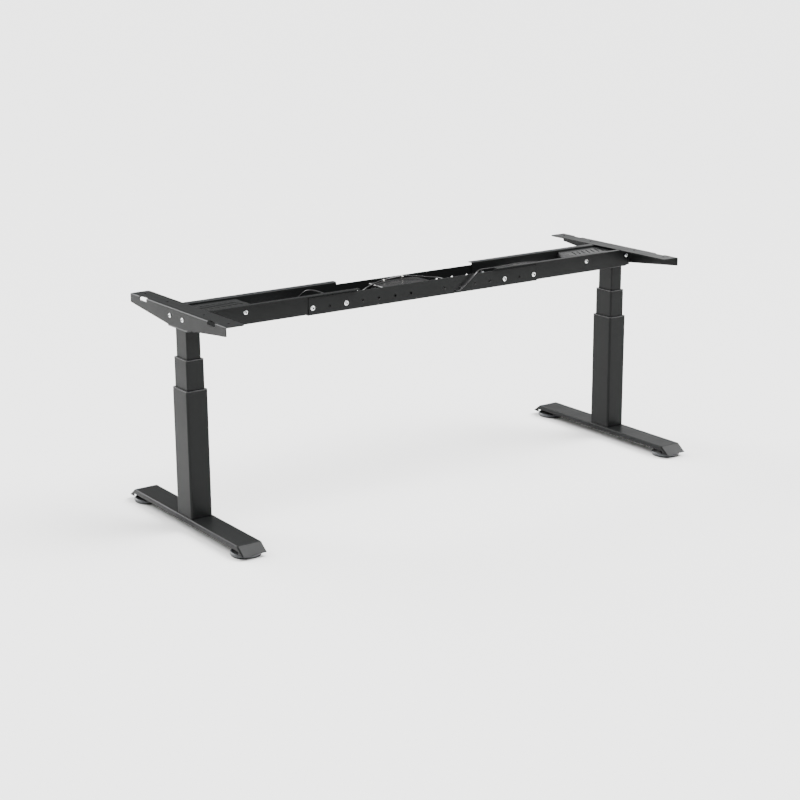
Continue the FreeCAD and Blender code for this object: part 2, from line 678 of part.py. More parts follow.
frame_inlet = frame_inlet.cut(box(box_low, box_low + inlet_depth - 2, -hollow_half, hollow_half,
                                  inlet_low + box_wall, inlet_high - box_wall))
pins = [box(box_low + 4, box_low + 16.5, y - 1, y + 1, 616, 620) for y in (-7, 0, 7)]
keep("power_inlet", frame_inlet.fuse(pins))

plug_places = (12.0, -22.0)    # plug of the left lead, plug of the right lead
plugs = []
for y in plug_places:
    plug = box(box_high, box_high + plug_length - 6, y - 8, y + 8, plug_height - 5, plug_height + 5)
    plug = plug.makeFillet(1.5, [e for e in plug.Edges if e.BoundBox.XLength > 5])
    boot = Part.makeCone(4.5, 3.2, 6, FreeCAD.Vector(box_high + plug_length - 6, y, plug_height),
                         FreeCAD.Vector(1, 0, 0))
    plugs.append(plug.fuse(boot).removeSplitter())
keep("lead_plugs", *plugs)

plug_end = box_high + plug_length
motor_end = leg_x - head_inner - motor_length
left_route = [(-motor_end, worm_place, worm_height), (-590, worm_place, worm_height),
              (-552, 34, 617), (-505, 42, 611), (-455, 46, 613), (-420, 48, 624), (-398, 48, 641),
              (-384, 40, 653), (-374, 18, 657), (-362, -8, 654), (-346, -34, 643), (-316, -47, 629),
              (-280, -47, 626), (-246, -38, 636), (-210, -22, 648), (-168, -2, 652),
              (-128, 20, 653.5), (-88, 33, 654), (-46, 41, 655), (-12, 36, 655.5), (10, 12, 655),
              (26, -16, 654.5), (54, -36, 653), (90, -46, 642), (126, -40, 632), (148, -16, 626),
              (138, 8, 622.5), (106, plug_places[0], plug_height), (plug_end, plug_places[0], plug_height)]
over = rail_face + 9.0         # the right lead goes over the front rail, down its face and in at the window
right_route = [(motor_end, worm_place, worm_height), (590, worm_place, worm_height),
               (546, 31, 633), (498, 28, 640), (452, 19, 646), (404, 8, 649), (356, -4, 650),
               (300, -16, 652), (246, -34, 656.5), (206, 18 - over, 661.5), (178, -over, 654),
               (128, 1.5 - over, 616), (118, 5 - over, 609), (110, 14 - over, 607), (105, -45, 608.5),
               (98, -34, 613), (88, -26, 619), (74, plug_places[1], plug_height),
               (plug_end, plug_places[1], plug_height)]


def lead(route, diameter, label):
    """A round lead on straight runs joined by tangent arcs, as large as the runs allow."""
    points = [FreeCAD.Vector(*p) for p in route]
    edges = []
    last = points[0]
    radii = []
    for i in range(1, len(points) - 1):
        here = points[i]
        into = points[i - 1] - here
        out = points[i + 1] - here
        reach = 0.45 * min(into.Length, out.Length)
        into.normalize()
        out.normalize()
        half = into.getAngle(out) / 2
        radius = reach * math.tan(half)
        radii.append(round(radius))
        start = here + into * reach
        end = here + out * reach
        middle = (into + out).normalize()
        top = here + middle * (radius / math.sin(half) - radius)
        edges.append(Part.LineSegment(last, start).toShape())
        edges.append(Part.Arc(start, top, end).toShape())
        last = end
    edges.append(Part.LineSegment(last, points[-1]).toShape())
    path = Part.Wire(edges)
    circle = Part.Wire([Part.Circle(points[0], points[1] - points[0], diameter / 2).toShape()])
    solid = path.makePipeShell([circle], True, False)
    volume_share = solid.Volume / (path.Length * math.pi * diameter ** 2 / 4)
    print(label, "length %.0f, volume %.4f of section x length, radii" % (path.Length, volume_share), radii)
    return solid


keep("left_motor_lead", lead(left_route, cable_diameter, "left lead"))
keep("right_motor_lead", lead(right_route, cable_diameter, "right lead"))

ties = []
for a, b in ((left_route[16], left_route[17]), (left_route[18], left_route[19])):
    start = FreeCAD.Vector(*a)
    end = FreeCAD.Vector(*b)
    middle = (start + end) * 0.5
    along = (end - start).normalize()
    band = Part.makeCylinder(cable_diameter / 2 + 0.9, 3.0, middle - along * 1.5, along)
    core = Part.makeCylinder(cable_diameter / 2, 3.0, middle - along * 1.5, along)
    knob = box(middle.x - 2, middle.x + 2, middle.y - 6.5, middle.y - 2.8, middle.z - 1.5, middle.z + 1.5)
    ties.append(band.fuse(knob).cut(core))
keep("lead_ties", *ties)

# ---- export ------------------------------------------------------------------------------------
os.makedirs("parts", exist_ok=True)
for name in sorted(PARTS):
    shape = PARTS[name]
    shape.exportStep("parts/" + name + ".step")
    bounds = shape.BoundBox
    print("%-26s solids %2d  x %7.1f %7.1f  y %7.1f %7.1f  z %6.1f %6.1f  valid %s" % (
        name, len(shape.Solids), bounds.XMin, bounds.XMax, bounds.YMin, bounds.YMax,
        bounds.ZMin, bounds.ZMax, shape.isValid()))
print(len(PARTS), "nodes")
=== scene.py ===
# %% [markdown]
# # A height adjustable desk frame
# The frame of a sit-stand desk is almost all sheet steel and rectangular tube under one black
# powder coat. That makes it an exercise in edges: a dark satin surface shows very little of
# its own colour, so the eye reads the shape from the thin light lines on its bends and cut
# edges. The CAD model gives every piece its true size. This lesson gives each one its edges,
# its finish and its small hardware.

# %% Load the frame
import math
import bmesh
import bpy
from mathutils import Matrix, Vector
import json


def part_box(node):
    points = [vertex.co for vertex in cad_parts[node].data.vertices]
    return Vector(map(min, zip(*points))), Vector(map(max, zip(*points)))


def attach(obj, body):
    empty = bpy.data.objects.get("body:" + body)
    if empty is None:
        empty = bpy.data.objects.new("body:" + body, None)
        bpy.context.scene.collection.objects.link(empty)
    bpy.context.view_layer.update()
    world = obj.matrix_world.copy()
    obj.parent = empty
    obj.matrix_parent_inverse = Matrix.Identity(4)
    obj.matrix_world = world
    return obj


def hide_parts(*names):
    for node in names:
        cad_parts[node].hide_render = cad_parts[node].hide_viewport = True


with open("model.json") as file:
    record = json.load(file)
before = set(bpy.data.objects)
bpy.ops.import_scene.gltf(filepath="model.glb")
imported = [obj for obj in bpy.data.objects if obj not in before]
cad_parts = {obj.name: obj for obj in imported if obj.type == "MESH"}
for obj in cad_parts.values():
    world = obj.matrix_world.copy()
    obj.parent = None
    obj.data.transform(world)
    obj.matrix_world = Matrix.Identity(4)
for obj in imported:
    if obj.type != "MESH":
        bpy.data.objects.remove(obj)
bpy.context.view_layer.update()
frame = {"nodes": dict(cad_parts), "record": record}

MM = 0.001
BODY_OF = {node: body for body, nodes in frame["record"]["behaviour"]["bodies"].items() for node in nodes}
SLOT_OF = {part["node"]: part["material_slot"] for part in frame["record"]["subparts"]}

# %% [markdown]
# ## The camera
# The view is a long lens from the front left, a little above the desk. A long lens keeps the
# two columns nearly parallel and makes the far foot only a little smaller than the near one.
# The camera is placed by its position, its heading and how far it looks down, and these three
# build its axes directly. The camera has a very slight roll, as a hand-levelled one has.

# %% Camera
CAMERA_PLACE = Vector((-3.133, -4.376, 1.741))
HEADING = math.radians(35.03)
DOWNWARD = math.radians(15.43)
ROLL = math.radians(-0.39)
LENS = 78.62

ahead = Vector((math.sin(HEADING) * math.cos(DOWNWARD), math.cos(HEADING) * math.cos(DOWNWARD),
                -math.sin(DOWNWARD)))
level = Vector((math.cos(HEADING), -math.sin(HEADING), 0))
above = level.cross(ahead)
across = level * math.cos(ROLL) + above * math.sin(ROLL)
upward = above * math.cos(ROLL) - level * math.sin(ROLL)

camera = bpy.data.objects.new("camera", bpy.data.cameras.new("camera"))
camera.data.lens = LENS
camera.data.sensor_width = 36
turn = Matrix((across, upward, -ahead)).transposed().to_4x4()
camera.matrix_world = Matrix.Translation(CAMERA_PLACE) @ turn
bpy.context.scene.collection.objects.link(camera)
bpy.context.scene.camera = camera
print("camera looks down", round(math.degrees(DOWNWARD), 1), "degrees with a", LENS, "mm lens")

# %% [markdown]
# ## The studio
# Black satin metal is lit by what it mirrors, so the room around it matters more than the
# lamps. The sky here is bright overhead and dim near the horizon. The bright part lights the
# floor evenly as far as it goes, and upright faces mirror that pale floor. Level faces seen
# at this low angle mirror the dim band instead, so they stay dark. Three soft round windows
# in the sky then place the highlights. Being part of the sky they are endlessly far away, so
# they leave no bright pools on the floor as a near lamp would. One large soft bank overhead
# adds the faint shadows that seat the pads on the floor.

# %% Sky, floor and lights
SKY_TOP = 1.7
SKY_RIM = 0.14
DOME_START = 0.2         # height of the gaze, as its Z, where the dim rim starts to brighten
DOME_FULL = 0.75         # and where the sky is at its brightest
SKY_WINDOWS = [          # where each is, degrees from there at full strength and at none, strength
    ((0.55, -0.28, 0.78), 14, 25, 18.0),     # bends of the rails and folded ends of the feet
    ((-0.24, 0.84, 0.46), 12, 24, 16.0),     # bends of the side brackets
    ((0.75, 0.64, 0.15), 5, 13, 2.0)]        # level tops at the right hand end
FLOOR_HALF = 60.0
BANK_PLACE = Vector((0.3, -0.8, 5.5))
BANK_SIZE = (5.0, 4.0)
BANK_POWER = 90


def hex_colour(code):
    """An sRGB hex value as linear RGBA."""
    parts = [int(code[i:i + 2], 16) / 255 for i in (1, 3, 5)]
    return tuple(p / 12.92 if p <= 0.04045 else ((p + 0.055) / 1.055) ** 2.4 for p in parts) + (1.0,)


def add(tree, kind, inputs=None, **settings):
    """Adds one node with its settings, values and links. A socket as a value is linked."""
    node = tree.nodes.new(kind)
    for name, value in settings.items():
        setattr(node, name, value)
    for name, value in (inputs or {}).items():
        socket = node.inputs[name]
        if isinstance(value, bpy.types.NodeSocket):
            tree.links.new(value, socket)
        else:
            socket.default_value = value
    return node


world = bpy.data.worlds.new("studio sky")
world.use_nodes = True
sky = world.node_tree
sky_light = sky.nodes["Background"]
sky_light.inputs["Color"].default_value = (1, 1, 1, 1)
gaze = sky.nodes.new("ShaderNodeTexCoord").outputs["Generated"]
gaze_up = add(sky, "ShaderNodeSeparateXYZ", {"Vector": gaze}).outputs["Z"]
sky_total = add(sky, "ShaderNodeMapRange", {"Value": gaze_up, "From Min": DOME_START, "From Max": DOME_FULL,
                                            "To Min": SKY_RIM, "To Max": SKY_TOP},
                interpolation_type="SMOOTHSTEP").outputs["Result"]


def sky_window(before, way, core, edge, strength):
    """Adds a soft round window to the sky: full out to core degrees from way, gone at edge degrees."""
    near = add(sky, "ShaderNodeVectorMath", operation="DOT_PRODUCT")
    sky.links.new(gaze, near.inputs[0])
    near.inputs[1].default_value = Vector(way).normalized()
    shine = add(sky, "ShaderNodeMapRange", {"Value": near.outputs["Value"], "To Max": strength,
                                            "From Min": math.cos(math.radians(edge)),
                                            "From Max": math.cos(math.radians(core))},
                interpolation_type="SMOOTHSTEP")
    both = add(sky, "ShaderNodeMath", operation="ADD")
    sky.links.new(before, both.inputs[0])
    sky.links.new(shine.outputs["Result"], both.inputs[1])
    return both.outputs["Value"]


for way, core, edge, strength in SKY_WINDOWS:
    sky_total = sky_window(sky_total, way, core, edge, strength)
sky.links.new(sky_total, sky_light.inputs["Strength"])
bpy.context.scene.world = world

floor_mesh = bpy.data.meshes.new("floor")
corners = [(-FLOOR_HALF, -FLOOR_HALF, 0), (FLOOR_HALF, -FLOOR_HALF, 0),
           (FLOOR_HALF, FLOOR_HALF, 0), (-FLOOR_HALF, FLOOR_HALF, 0)]
floor_mesh.from_pydata(corners, [], [(0, 1, 2, 3)])
floor = bpy.data.objects.new("floor", floor_mesh)
bpy.context.scene.collection.objects.link(floor)
paper = bpy.data.materials.new("matt white backdrop paper")
paper.use_nodes = True
paper_shader = paper.node_tree.nodes["Principled BSDF"]
paper_shader.inputs["Base Color"].default_value = hex_colour("#F4F4F3")
paper_shader.inputs["Roughness"].default_value = 0.9
floor_mesh.materials.append(paper)

lamp = bpy.data.lights.new("overhead bank", "AREA")
lamp.shape = "RECTANGLE"
lamp.size, lamp.size_y = BANK_SIZE
lamp.energy = BANK_POWER
bank = bpy.data.objects.new("overhead bank", lamp)
bank.location = BANK_PLACE
bank.rotation_euler = (-BANK_PLACE).to_track_quat("-Z", "Y").to_euler()
bank.visible_camera = False
bpy.context.scene.collection.objects.link(bank)

# %% [markdown]
# ## Powder coat
# Powder coat is polyester dust, charged, sprayed and baked until it flows. It never lies quite
# flat: it keeps a fine orange-peel waviness a millimetre or two across, and a much finer
# grain that turns reflections satin. So the material is a dark plastic skin (a dielectric, not
# a metal), with a slow noise for the waviness, a fine one for the grain and a little change in
# roughness from place to place. The real grain is too fine to see from this far, so it is
# drawn a few times coarser than life. The reflection level is chosen well below that
# of a smooth plastic, so that faces turned to the bright sky stay black.

# %% Powder coat material
PEEL = 2.2 * MM          # orange-peel wavelength
GRAIN = 0.5 * MM         # fine grain, drawn coarse
COAT_IOR = 1.48
COAT_REFLECTION = 0.09   # 0.5 is that of a smooth plastic
CLOUD = 90 * MM          # slow change in sheen over a panel
NOISE_LOW = 0.3          # most of a noise lies between these two
NOISE_HIGH = 0.7


def new_material(name, colour, roughness, metallic=0.0):
    """A principled material with its constants on the shader's own sockets."""
    material = bpy.data.materials.new(name)
    material.use_nodes = True
    shader = material.node_tree.nodes["Principled BSDF"]
    shader.inputs["Base Color"].default_value = hex_colour(colour)
    shader.inputs["Roughness"].default_value = roughness
    shader.inputs["Metallic"].default_value = metallic
    place = material.node_tree.nodes.new("ShaderNodeTexCoord").outputs["Object"]
    return material, material.node_tree, shader, place


def vary_roughness(tree, shader, place, size, low, high):
    """Roughness drifts between low and high over patches of the given size."""
    noise = add(tree, "ShaderNodeTexNoise", {"Vector": place, "Scale": 1 / size, "Detail": 3.0})
    spread = add(tree, "ShaderNodeMapRange", {"Value": noise.outputs["Fac"], "From Min": NOISE_LOW,
                                              "From Max": NOISE_HIGH, "To Min": low, "To Max": high})
    tree.links.new(spread.outputs["Result"], shader.inputs["Roughness"])


def powder_coat(name, colour, low, high):
    """Baked polyester powder on steel: satin, slightly wavy, fine grained."""
    material, tree, shader, place = new_material(name, colour, low)
    shader.inputs["IOR"].default_value = COAT_IOR
    shader.inputs["Specular IOR Level"].default_value = COAT_REFLECTION
    vary_roughness(tree, shader, place, CLOUD, low, high)
    peel = add(tree, "ShaderNodeTexNoise", {"Vector": place, "Scale": 1 / PEEL, "Detail": 1.0})
    grain = add(tree, "ShaderNodeTexNoise", {"Vector": place, "Scale": 1 / GRAIN, "Detail": 0.0})
    wavy = add(tree, "ShaderNodeBump", {"Height": peel.outputs["Fac"], "Strength": 0.10,
                                        "Distance": 0.4 * MM})
    fine = add(tree, "ShaderNodeBump", {"Height": grain.outputs["Fac"], "Strength": 0.12,
                                        "Distance": 0.1 * MM, "Normal": wavy.outputs["Normal"]})
    tree.links.new(fine.outputs["Normal"], shader.inputs["Normal"])
    return material


coat = powder_coat("satin black polyester powder coat", "#161717", 0.30, 0.38)
gloss_coat = powder_coat("semi-gloss black powder coat on the covers", "#1C1D1D", 0.22, 0.28)
print("made", coat.name, "and", gloss_coat.name)

# %% [markdown]
# ## Metals
# The bolts are zinc plated: pale, faintly blue-grey, with a soft cloudy sheen from the bath.
# Spindles and lift tubes are drawn or turned steel, so their grain runs round the bar in fine
# rings. The nuts are turned brass. A metal has no colour below its mirror, so metallic is 1
# and the base colour is the metal's own tint.

# %% Metal materials
LATHE_RING = 0.6 * MM    # one tool feed; a wave texture's bands are pi / 10 apart at scale 1
PLATING_CLOUD = 3 * MM
BAR_CLOUD = 20 * MM


def plated(name, colour, low, high):
    """Electroplated fastener: even metal with cloudy sheen."""
    material, tree, shader, place = new_material(name, colour, low, 1.0)
    vary_roughness(tree, shader, place, PLATING_CLOUD, low, high)
    return material


def turned(name, colour, low, high):
    """Lathe-turned bar standing upright: rings one tool feed apart along Z."""
    material, tree, shader, place = new_material(name, colour, low, 1.0)
    vary_roughness(tree, shader, place, BAR_CLOUD, low, high)
    rings = add(tree, "ShaderNodeTexWave", {"Vector": place, "Scale": math.pi / 10 / LATHE_RING,
                                            "Distortion": 0.4}, bands_direction="Z", wave_profile="SIN")
    bump = add(tree, "ShaderNodeBump", {"Height": rings.outputs["Fac"], "Strength": 0.15,
                                        "Distance": 0.1 * MM})
    tree.links.new(bump.outputs["Normal"], shader.inputs["Normal"])
    return material


zinc = plated("bright zinc plated steel", "#F2F4F5", 0.30, 0.44)
# The inside of each hex socket gets a dark, dull steel: painted shade for the recess.
socket_painted_shade = plated("dull oiled steel in the hex sockets", "#2A2A2B", 0.5, 0.6)
steel = turned("turned and drawn steel", "#A9ABAD", 0.26, 0.38)
brass = turned("turned brass", "#C2A060", 0.24, 0.34)
print("made", zinc.name, "/", steel.name, "/", brass.name)

# %% [markdown]
# ## Plastics and rubber
# Each moulding process leaves its own skin. Glides and shoes are moulded nylon, dull and
# smooth. The control box is ABS from a spark-eroded mould, which leaves an even fine grain.
# The leads are extruded PVC and shine along their length. The pads are a hard grey-black
# plastic disc on a softer rubber sole that scatters light like a tyre.

# %% Plastic and rubber materials
SPARK_GRAIN = 0.9 * MM
RUBBER_GRAIN = 0.7 * MM
MOULD_CLOUD = 40 * MM


def moulded(name, colour, low, high, grain, depth):
    """Injection moulded part: even grain from the mould wall."""
    material, tree, shader, place = new_material(name, colour, low)
    vary_roughness(tree, shader, place, MOULD_CLOUD, low, high)
    cells = add(tree, "ShaderNodeTexNoise", {"Vector": place, "Scale": 1 / grain, "Detail": 2.0})
    bump = add(tree, "ShaderNodeBump", {"Height": cells.outputs["Fac"], "Strength": depth,
                                        "Distance": 0.1 * MM})
    tree.links.new(bump.outputs["Normal"], shader.inputs["Normal"])
    return material


nylon = moulded("moulded black nylon", "#1E1F20", 0.42, 0.5, 1.5 * MM, 0.1)
abs_box = moulded("spark grained black ABS", "#0D0D0E", 0.24, 0.32, SPARK_GRAIN, 0.2)
sheath = moulded("extruded black PVC sheath", "#121213", 0.14, 0.20, 6 * MM, 0.05)
tie_nylon = moulded("natural white nylon", "#E6E4DC", 0.35, 0.45, 2 * MM, 0.05)
pad_plastic = moulded("moulded grey-black pad plastic", "#3A3C3E", 0.34, 0.42, 1.2 * MM, 0.15)
pad_rubber = moulded("moulded black rubber sole", "#0E0E0F", 0.7, 0.8, RUBBER_GRAIN, 0.5)
casting = moulded("black painted die cast aluminium", "#202223", 0.4, 0.52, 1.8 * MM, 0.4)
enamel = moulded("black motor enamel", "#121314", 0.22, 0.3, 5 * MM, 0.08)
print("materials:", len([m for m in bpy.data.materials if m.use_nodes]))

FINISH = {"powder_coat": coat, "zinc_steel": zinc, "bright_steel": steel, "brass": brass, "nylon": nylon,
          "pad_rubber": pad_rubber, "lead_sheath": sheath, "tie_nylon": tie_nylon, "box_plastic": abs_box,
          "cast_aluminium": casting, "motor_paint": enamel}

# %% [markdown]
# ## Finishing every CAD node
# Nodes that stay as they are, mostly the ones inside the columns, get their real material. The
# CAD mesh itself is never touched: only its material slot is filled.

# %% Materials on the CAD nodes
for node, shape in frame["nodes"].items():
    shape.data.materials.clear()
    shape.data.materials.append(FINISH[SLOT_OF[node]])
print("finished", len(frame["nodes"]), "CAD nodes")

# %% [markdown]
# ## Edges that catch the light
# On real sheet steel no edge is a perfect corner. A laser-cut edge is deburred and then loses
# its sharpness under the coat, so it becomes a band half a millimetre to one wide. That band
# is what draws the bright outlines on a black frame. Each visible piece is copied from its
# CAD node, its loose triangles are joined back into flat faces, and a bevel of the right
# width is cut along every sharp edge. The copy then replaces the node.

# %% A softened copy of a node
MERGE = 0.002 * MM
FLAT_ANGLE = math.radians(0.6)
SHARP_ANGLE = math.radians(28)
BEVEL_SEGMENTS = 2


def clean_copy(node):
    """The node's mesh with its corners joined and its flat triangles merged, as a bmesh."""
    mesh = bmesh.new()
    mesh.from_mesh(frame["nodes"][node].data)
    bmesh.ops.remove_doubles(mesh, verts=mesh.verts, dist=MERGE)
    bmesh.ops.dissolve_limit(mesh, angle_limit=FLAT_ANGLE, verts=mesh.verts, edges=mesh.edges)
    for face in mesh.faces:
        face.smooth = True
    return mesh


def placed(name, mesh, material, body, slot, *nodes):
    """Makes a finished mesh a piece: linked, given its material and body, with the nodes it replaces hidden.
    The slot is not used.
    """
    piece = bpy.data.objects.new(name, mesh)
    bpy.context.scene.collection.objects.link(piece)
    if material is not None:
        mesh.materials.clear()
        mesh.materials.append(material)
    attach(piece, body)
    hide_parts(*nodes)
    return piece


def evaluated(source, name):
    """The object's mesh with its modifiers in it, as a new mesh. The object is removed."""
    view = bpy.context.evaluated_depsgraph_get()
    mesh = bpy.data.meshes.new_from_object(source.evaluated_get(view), depsgraph=view)
    mesh.name = name
    bpy.data.objects.remove(source)
    return mesh


def softened(node, width):
    """Replaces a node with a copy whose sharp edges have a bevel of the given width."""
    mesh = bpy.data.meshes.new(node + "_blank")
    work = clean_copy(node)
    work.to_mesh(mesh)
    work.free()
    source = bpy.data.objects.new(node + "_blank", mesh)
    bpy.context.scene.collection.objects.link(source)
    bevel = source.modifiers.new("edge", "BEVEL")
    bevel.width = width
    bevel.segments = BEVEL_SEGMENTS
    bevel.limit_method = "ANGLE"
    bevel.angle_limit = SHARP_ANGLE
    bevel.use_clamp_overlap = True
    flats = source.modifiers.new("flat faces", "WEIGHTED_NORMAL")
    flats.mode = "FACE_AREA"
    flats.weight = 100
    done = evaluated(source, node + "_finished")
    finish = gloss_coat if "cover" in node else FINISH[SLOT_OF[node]]
    return placed(node + "_finished", done, finish, BODY_OF[node], SLOT_OF[node], node)


print("edges sharper than", round(math.degrees(SHARP_ANGLE)), "degrees are softened")

# %% [markdown]
# ## The steel structure
# Feet and brackets are thick sheet, the rails and covers thinner, and the tubes are cut
# square, so each gets its own edge width.

# %% Feet, tubes, rails, covers and brackets
EDGE_WIDTH = {"foot": 0.9 * MM, "tube": 0.5 * MM, "rail": 0.7 * MM, "cover": 0.7 * MM,
              "bracket": 0.9 * MM, "gearbox": 0.8 * MM, "glides": 0.4 * MM, "motor": 0.5 * MM,
              "box": 0.5 * MM}
STEEL_PIECES = [node for node, slot in SLOT_OF.items() if slot == "powder_coat"]
for node in STEEL_PIECES:
    kind = next(word for word in EDGE_WIDTH if word in node)
    piece = softened(node, EDGE_WIDTH[kind])
    print(piece.name, len(piece.data.polygons), "faces")

# %% Castings, motors, glides and control box
OTHER_PIECES = {"left_gearbox": "gearbox", "right_gearbox": "gearbox", "gearbox_lids": "gearbox",
                "left_motor": "motor", "right_motor": "motor", "outer_tube_glides": "glides",
                "left_middle_glides": "glides", "right_middle_glides": "glides",
                "control_box_base": "box", "control_box_lid": "box", "lead_plugs": "box"}
for node, kind in OTHER_PIECES.items():
    piece = softened(node, EDGE_WIDTH[kind])
    print(piece.name, len(piece.data.polygons), "faces")

# %% [markdown]
# ## Button head bolts
# Every bolt on the crossbar and the brackets is a flanged button head with a hex socket. Each
# size is turned once as a profile spun round its axis, then repeated. The profile has the
# thin flange, the dome and the flat rim of the socket; the socket itself is six-sided, so its
# ring of points follows a hexagon instead of a circle.

# %% One bolt head
RING = 48
SOCKET_SHARE = 0.8       # the socket across its flats, as a share of the head's radius


def hexagon_reach(angle, flats):
    """Distance from the centre to a hexagon's side in this direction."""
    side = math.radians(60)
    return flats / 2 / math.cos((angle + side / 2) % side - side / 2)


def bolt_head(name, head, height, shank, length):
    """A flanged button head along +Z with its shank below, as one closed mesh."""
    socket = head * SOCKET_SHARE
    profile = [(shank, -length), (shank, 0), (head * 0.97, 0), (head, 0.12 * height), (head, 0.22 * height),
               (head * 0.94, 0.3 * height), (head * 0.8, 0.34 * height), (head * 0.76, 0.45 * height),
               (head * 0.7, 0.66 * height), (head * 0.63, 0.84 * height), (head * 0.56, 0.95 * height),
               (head * 0.51, height), (head * 0.48, height)]
    mesh = bmesh.new()
    rings = []
    angles = [2 * math.pi * i / RING for i in range(RING)]
    for reach, rise in profile:
        rings.append([mesh.verts.new((reach * math.cos(a), reach * math.sin(a), rise)) for a in angles])
    reaches = [hexagon_reach(a, socket) for a in angles]
    corners = [(r * math.cos(a), r * math.sin(a)) for r, a in zip(reaches, angles)]
    for rise in (0.94 * height, 0.35 * height):
        rings.append([mesh.verts.new((x, y, rise)) for x, y in corners])
    for lower, upper in zip(rings, rings[1:]):
        for i in range(RING):
            j = (i + 1) % RING
            mesh.faces.new((lower[i], lower[j], upper[j], upper[i]))
    mesh.faces.new(list(reversed(rings[0])))
    mesh.faces.new(rings[-1])
    bmesh.ops.recalc_face_normals(mesh, faces=mesh.faces)
    data = bpy.data.meshes.new(name)
    mesh.to_mesh(data)
    mesh.free()
    inside = data.attributes.new("socket", "BOOLEAN", "FACE")
    for face in data.polygons:
        middle = face.center
        reach = math.hypot(middle.x, middle.y)
        inside.data[face.index].value = reach < 0.5 * head and 0 < middle.z < 0.9 * height
    return data


sample = bolt_head("bolt head sample", 7.5 * MM, 5 * MM, 4 * MM, 13 * MM)
print("one bolt head:", len(sample.polygons), "faces")
bpy.data.meshes.remove(sample)

# %% [markdown]
# ## Setting the bolts with Geometry Nodes
# A bolt goes wherever the CAD model has one. The bolts of a node are separate islands of its
# mesh, so each island's box gives one bolt's place, and the side that it looks out from gives
# its direction. Those places become a cloud of points with a direction stored on each, and a
# small node tree stands a head on every point, turned a little differently each time, because
# nobody lines up the sockets.

# %% Where the bolts are
def islands(node):
    """Lowest and highest corners of each separate solid in a node."""
    mesh = clean_copy(node)
    left = set(mesh.verts)
    boxes = []
    while left:
        edge = [left.pop()]
        found = list(edge)
        while edge:
            vert = edge.pop()
            for link in vert.link_edges:
                other = link.other_vert(vert)
                if other in left:
                    left.discard(other)
                    edge.append(other)
                    found.append(other)
        low = Vector([min(v.co[k] for v in found) for k in range(3)])
        high = Vector([max(v.co[k] for v in found) for k in range(3)])
        boxes.append((low, high))
    mesh.free()
    return sorted(boxes, key=lambda pair: tuple(round(c, 4) for c in pair[0]))


def bolt_places(node, axis, height, upward=None):
    """The point under each head and the way that the head looks."""
    places = []
    for low, high in islands(node):
        middle = (low + high) / 2
        way = Vector((0, 0, 0))
        outward = upward if upward is not None else (1 if middle[axis] > 0 else -1)
        way[axis] = outward
        seat = middle.copy()
        seat[axis] = (high[axis] - height) if outward > 0 else (low[axis] + height)
        places.append((seat, way))
    return places


print("separate bolts in the crossbar:", len(islands("crossbar_bolts")))

# %% The tree that sets them
def bolt_tree():
    """Points with a direction in, bolt heads out."""
    tree = bpy.data.node_groups.new("set bolt heads", "GeometryNodeTree")
    sockets = [("Points", "NodeSocketGeometry"), ("Head", "NodeSocketObject"),
               ("Spin Spread", "NodeSocketFloat"), ("Seed", "NodeSocketInt"),
               ("Finish", "NodeSocketMaterial"), ("Socket Finish", "NodeSocketMaterial")]
    for name, kind in sockets:
        tree.interface.new_socket(name=name, in_out="INPUT", socket_type=kind)
    tree.interface.new_socket(name="Bolts", in_out="OUTPUT", socket_type="NodeSocketGeometry")
    given = tree.nodes.new("NodeGroupInput").outputs
    head = add(tree, "GeometryNodeObjectInfo", {"Object": given["Head"]})
    way = add(tree, "GeometryNodeInputNamedAttribute", {"Name": "way"}, data_type="FLOAT_VECTOR")
    aim = add(tree, "FunctionNodeAlignRotationToVector", {"Vector": way.outputs["Attribute"]}, axis="Z")
    spin = add(tree, "FunctionNodeRandomValue", {"Min": 0.0, "Max": given["Spin Spread"],
                                                 "Seed": given["Seed"]}, data_type="FLOAT")
    local = add(tree, "FunctionNodeAxisAngleToRotation", {"Axis": (0, 0, 1), "Angle": spin.outputs[1]})
    turned_head = add(tree, "FunctionNodeRotateRotation", {"Rotation": aim.outputs[0],
                                                           "Rotate By": local.outputs[0]},
                      rotation_space="LOCAL")
    stand = add(tree, "GeometryNodeInstanceOnPoints", {"Points": given["Points"],
                                                       "Instance": head.outputs["Geometry"],
                                                       "Rotation": turned_head.outputs[0]})
    real = add(tree, "GeometryNodeRealizeInstances", {"Geometry": stand.outputs["Instances"]})
    finish = add(tree, "GeometryNodeSetMaterial", {"Geometry": real.outputs["Geometry"],
                                                   "Material": given["Finish"]})
    # The faces inside each hex socket take the dark socket material, which is painted shade in the recess.
    inside = add(tree, "GeometryNodeInputNamedAttribute", {"Name": "socket"}, data_type="BOOLEAN")
    dark = add(tree, "GeometryNodeSetMaterial", {"Geometry": finish.outputs["Geometry"],
                                                 "Selection": inside.outputs["Attribute"],
                                                 "Material": given["Socket Finish"]})
    out = tree.nodes.new("NodeGroupOutput")
    tree.links.new(dark.outputs["Geometry"], out.inputs["Bolts"])
    return tree


SET_BOLTS = bolt_tree()
print("tree:", SET_BOLTS.name, len(SET_BOLTS.nodes), "nodes")


def run_tree(tree, source, name, **values):
    """Runs a tree on an object, with inputs given by name, and returns the plain mesh."""
    modifier = source.modifiers.new("tree", "NODES")
    modifier.node_group = tree
    for item in tree.interface.items_tree:
        if item.in_out == "INPUT" and item.name.replace(" ", "_") in values:
            modifier[item.identifier] = values[item.name.replace(" ", "_")]
    return evaluated(source, name)


def point_cloud(name, places):
    """A mesh of bare points, with the way each one looks."""
    mesh = bpy.data.meshes.new(name)
    mesh.from_pydata([tuple(p) for p, _ in places], [], [])
    ways = mesh.attributes.new("way", "FLOAT_VECTOR", "POINT")
    for i, (_, way) in enumerate(places):
        ways.data[i].vector = way
    cloud = bpy.data.objects.new(name, mesh)
    bpy.context.scene.collection.objects.link(cloud)
    return cloud


